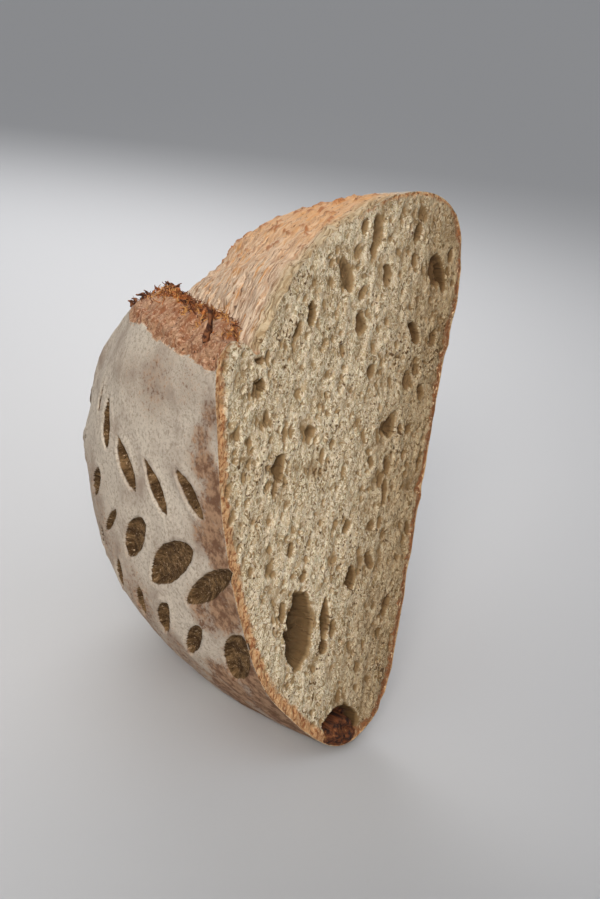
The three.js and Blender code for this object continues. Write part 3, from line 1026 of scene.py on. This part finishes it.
shred_look = shred_material()
out_of_loaf = turned(np.array([1.0, -0.15, 0.25]))
SHREDS = {
    "torn_threads": {"Shreds per square cm": 330.0, "Shortest mm": 1.2, "Longest mm": 3.0,
                     "Slenderness": 0.07, "Lean": 2.2, "Seed": 8},
    "torn_flakes": {"Shreds per square cm": 40.0, "Shortest mm": 1.2, "Longest mm": 2.8,
                    "Slenderness": 0.2, "Lean": 2.0, "Seed": 21},
}
shreds = []
for name, sizes in SHREDS.items():
    piece = bpy.data.objects.new(name, bench_carrier())
    bpy.context.scene.collection.objects.link(piece)
    grown(piece, shred_tree(), {"Up": tuple(out_of_loaf), "Look": shred_look, **sizes})
    shreds.append(piece)
    print(name, len(piece.data.polygons), "faces")

# %% [markdown]
# ## Charred flakes
# The shreds that stood out farthest burnt nearly black. They grow in a few tufts and not
# all over, so each is a tapered, twisted strip in mesh code, and the tufts are listed one
# by one. The tallest flake stands alone beside the cut, and the others are short.

# %% Charred flakes
# Each tuft: its place round the outline and along the loaf, its way out, length, strips,
# how far they spread, and the widest.
TUFTS = [
    (19.4, 9.5, (1.0, 0.0, 0.1), 11.0, 1, 0.0, 2.6), (20.5, 55, (1.0, 0.1, 0.2), 2.3, 26, 0.8, 1.9),
    (20.7, 50, (1.0, 0.0, 0.2), 1.7, 14, 0.8, 1.7), (20.8, 39, (1.0, 0.0, 0.1), 1.5, 12, 0.8, 1.5),
    (20.8, 34, (1.0, -0.1, 0.1), 1.5, 9, 0.8, 1.5), (20.0, 61, (1.0, 0.1, 0.2), 0.9, 8, 0.7, 1.4),
]
STRIP_SIDES = ((-1, -1), (1, -1), (1, 1), (-1, 1))
STRIP_RINGS = 9
STRIP_THICKNESS = 0.6
ROOT_DEPTH = 1.5


def charred_strip(root, way, length, width, thickness, twist, curl):
    """Rings of a tapered, twisted strip in the loaf's axes."""
    way = way / np.linalg.norm(way)
    side = np.cross(way, [0.2, 1.0, 0.1])
    side /= np.linalg.norm(side)
    out = np.cross(way, side)
    points = []
    for ring_number in range(STRIP_RINGS):
        f = ring_number / (STRIP_RINGS - 1)
        middle = root + way * length * f + out * curl * f * f + side * 0.4 * math.sin(7 * f + curl)
        taper = (1 - 0.5 * f ** 1.5) * (1 + 0.25 * math.sin(9 * f + length))
        turn = twist * f
        for a, b in STRIP_SIDES:
            u, v = a * width * taper / 2, b * thickness * taper / 2
            points.append(middle + side * (u * math.cos(turn) - v * math.sin(turn))
                          + out * (u * math.sin(turn) + v * math.cos(turn)))
    return points


def charred_flakes():
    """All the strips as one mesh."""
    chance = np.random.default_rng(12)
    points, faces = [], []
    for outline_place, from_cut, way, length, count, spread, widest in TUFTS:
        row = np.argmin(np.abs(stations * HALF_LENGTH - from_cut))
        root = skin_points[row, np.argmin(np.abs(ring - outline_place))]
        for _ in range(count):
            start = len(points)
            lean = np.array(way) + spread * chance.uniform(-1, 1, 3)
            foot = root + chance.uniform(-1, 1, 3) * 2.2 * spread - ROOT_DEPTH * np.array(way)
            reach = ROOT_DEPTH + length * chance.uniform(0.65, 1.0)
            width = widest * chance.uniform(0.6, 1.0) if spread else widest
            twist = chance.uniform(-2, 2) * (spread > 0)
            curl = chance.uniform(-3, 3) * spread
            points += charred_strip(foot, lean, reach, width, STRIP_THICKNESS, twist, curl)
            for k in range(start, start + 4 * (STRIP_RINGS - 1), 4):
                faces += [(k + j, k + (j + 1) % 4, k + 4 + (j + 1) % 4, k + 4 + j) for j in range(4)]
            faces += [(start + 3, start + 2, start + 1, start),
                      tuple(start + 4 * (STRIP_RINGS - 1) + j for j in range(4))]
    mesh = bpy.data.meshes.new("charred_flakes")
    mesh.from_pydata(placed(np.array(points)).tolist(), [], faces)
    mesh.shade_smooth()
    return mesh


def char_material():
    # Charred gluten: nearly black with brown edges, dry and matt.
    material, tree, _ = new_material("charred gluten")
    place = add(tree, "ShaderNodeTexCoord").outputs["Object"]
    # Brown spots about 1.4 mm across.
    spots = add(tree, "ShaderNodeTexNoise", {"Vector": place, "Scale": 0.7 / MM, "Detail": 3.0})
    colour = lay_over(tree, linear("#40251a"), linear("#875638"), spots, 0.42, 0.62)
    finish(tree, colour, spots, 0.3, Roughness=0.8, Specular_IOR_Level=0.2)
    return material


flakes = bpy.data.objects.new("charred_flakes", charred_flakes())
flakes.data.materials.append(char_material())
bpy.context.scene.collection.objects.link(flakes)
shreds.append(flakes)
print("charred flakes:", sum(tuft[4] for tuft in TUFTS), "in", len(TUFTS), "tufts")

# %% [markdown]
# ## Stage
# A plain pale floor under a soft studio light. The window lamp stands high on the left, and
# the soft edge of its beam falls across the bread, so that the light fades to the right.
# A wide sun stands for the sky, and a weak disk behind on the right lifts the far side.

# %% Floor and light
FLOOR_REACH = 30.0
corners = [(FLOOR_REACH * a, FLOOR_REACH * b, 0) for a, b in ((-1, -1), (1, -1), (1, 1), (-1, 1))]
floor_mesh = bpy.data.meshes.new("floor")
floor_mesh.from_pydata(corners, [], [(0, 1, 2, 3)])
floor = bpy.data.objects.new("floor", floor_mesh)
bpy.context.scene.collection.objects.link(floor)
floor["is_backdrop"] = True
floor_material = bpy.data.materials.new("pale matt paint")
floor_material.use_nodes = True
floor_shader = floor_material.node_tree.nodes["Principled BSDF"]
floor_shader.inputs["Base Color"].default_value = linear("#c4c4c6")
floor_shader.inputs["Roughness"].default_value = 0.9
floor_mesh.materials.append(floor_material)


def aimed(lamp, place, target):
    """Sets a lamp down, turned towards a point."""
    lamp.location = place
    lamp.rotation_mode = "QUATERNION"
    lamp.rotation_quaternion = (Vector(target) - Vector(place)).to_track_quat("-Z", "Y")
    bpy.context.scene.collection.objects.link(lamp)


window_data = bpy.data.lights.new("window", "SPOT")
window_data.energy = 47.0
window_data.color = linear("#fffaf2")[:3]
window_data.shadow_soft_size = 0.22
window_data.spot_size = math.radians(30)
window_data.spot_blend = 1.0
fill_data = bpy.data.lights.new("fill", "AREA")
fill_data.shape = "DISK"
fill_data.size = 0.5
fill_data.energy = 2.6
aimed(bpy.data.objects.new("fill", fill_data), (0.30, 0.55, 0.50), (0, 0, 0.08))
aimed(bpy.data.objects.new("window", window_data), (-0.42, -0.30, 0.38), (-0.09, -0.02, 0.15))
sun_data = bpy.data.lights.new("overcast sky", "SUN")
sun_data.energy = 0.75
sun_data.angle = math.radians(70)
aimed(bpy.data.objects.new("overcast sky", sun_data), (-0.35, -0.1, 1.0), (0, 0, 0))
world = bpy.data.worlds.new("room")
world.use_nodes = True
world.node_tree.nodes["Background"].inputs[0].default_value = linear("#dfe2e6")
world.node_tree.nodes["Background"].inputs[1].default_value = 0.3
bpy.context.scene.world = world
bpy.context.scene.view_settings.view_transform = "Standard"
print("lights:", [lamp.name for lamp in bpy.data.lights])

# %% [markdown]
# ## Handing over
# The bread stands for the imported solid and moves with it. The bread's box is printed.

# %% Frame calls
for piece in [loaf] + shreds:
    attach(piece, "root")
    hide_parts("half_loaf")

low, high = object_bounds()
print("bread, mm:", [round(v / MM, 1) for v in high - low])
